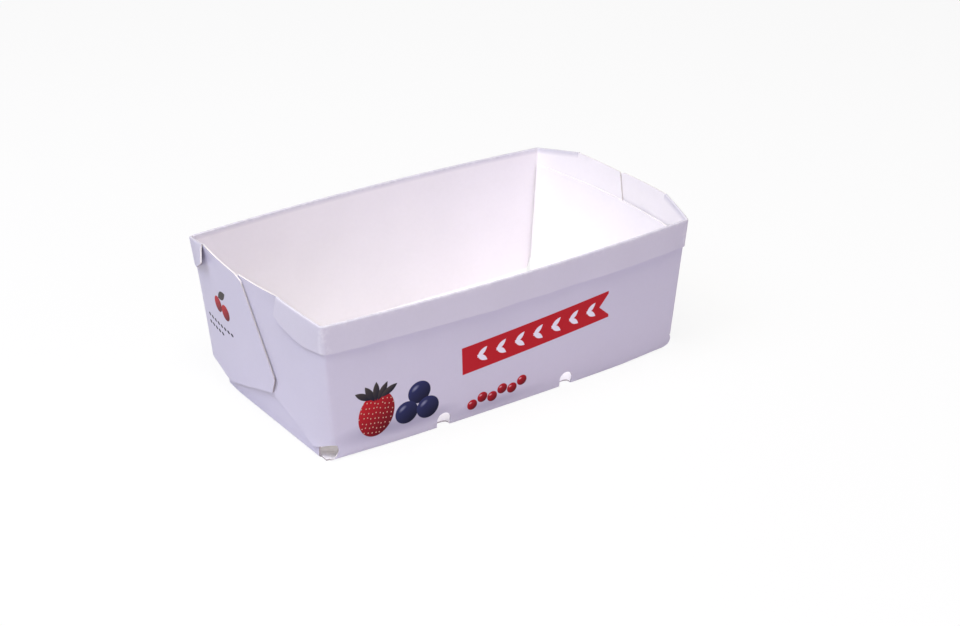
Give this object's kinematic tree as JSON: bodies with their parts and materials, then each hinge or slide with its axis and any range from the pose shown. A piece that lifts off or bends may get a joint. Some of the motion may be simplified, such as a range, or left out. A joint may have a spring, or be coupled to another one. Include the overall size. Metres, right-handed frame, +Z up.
{
  "type": "cardboard tray box",
  "caption": "Open fruit tray folded and glued from one blank of solid board, with sloping bowed walls, a turned-down rim band and half-round vents.",
  "frame": {"origin": "centre of the underside, on the surface that the tray stands on", "axes": "+X along the long side, +Y across the tray from the near long wall to the far one, +Z up"},
  "size_m": [0.197, 0.117, 0.0662],
  "materials": {
    "board": "white coated board outside with a printed long wall, uncoated white inside"
  },
  "bodies": {
    "root": {"tray_blank": "board"}
  },
  "joints": []
}
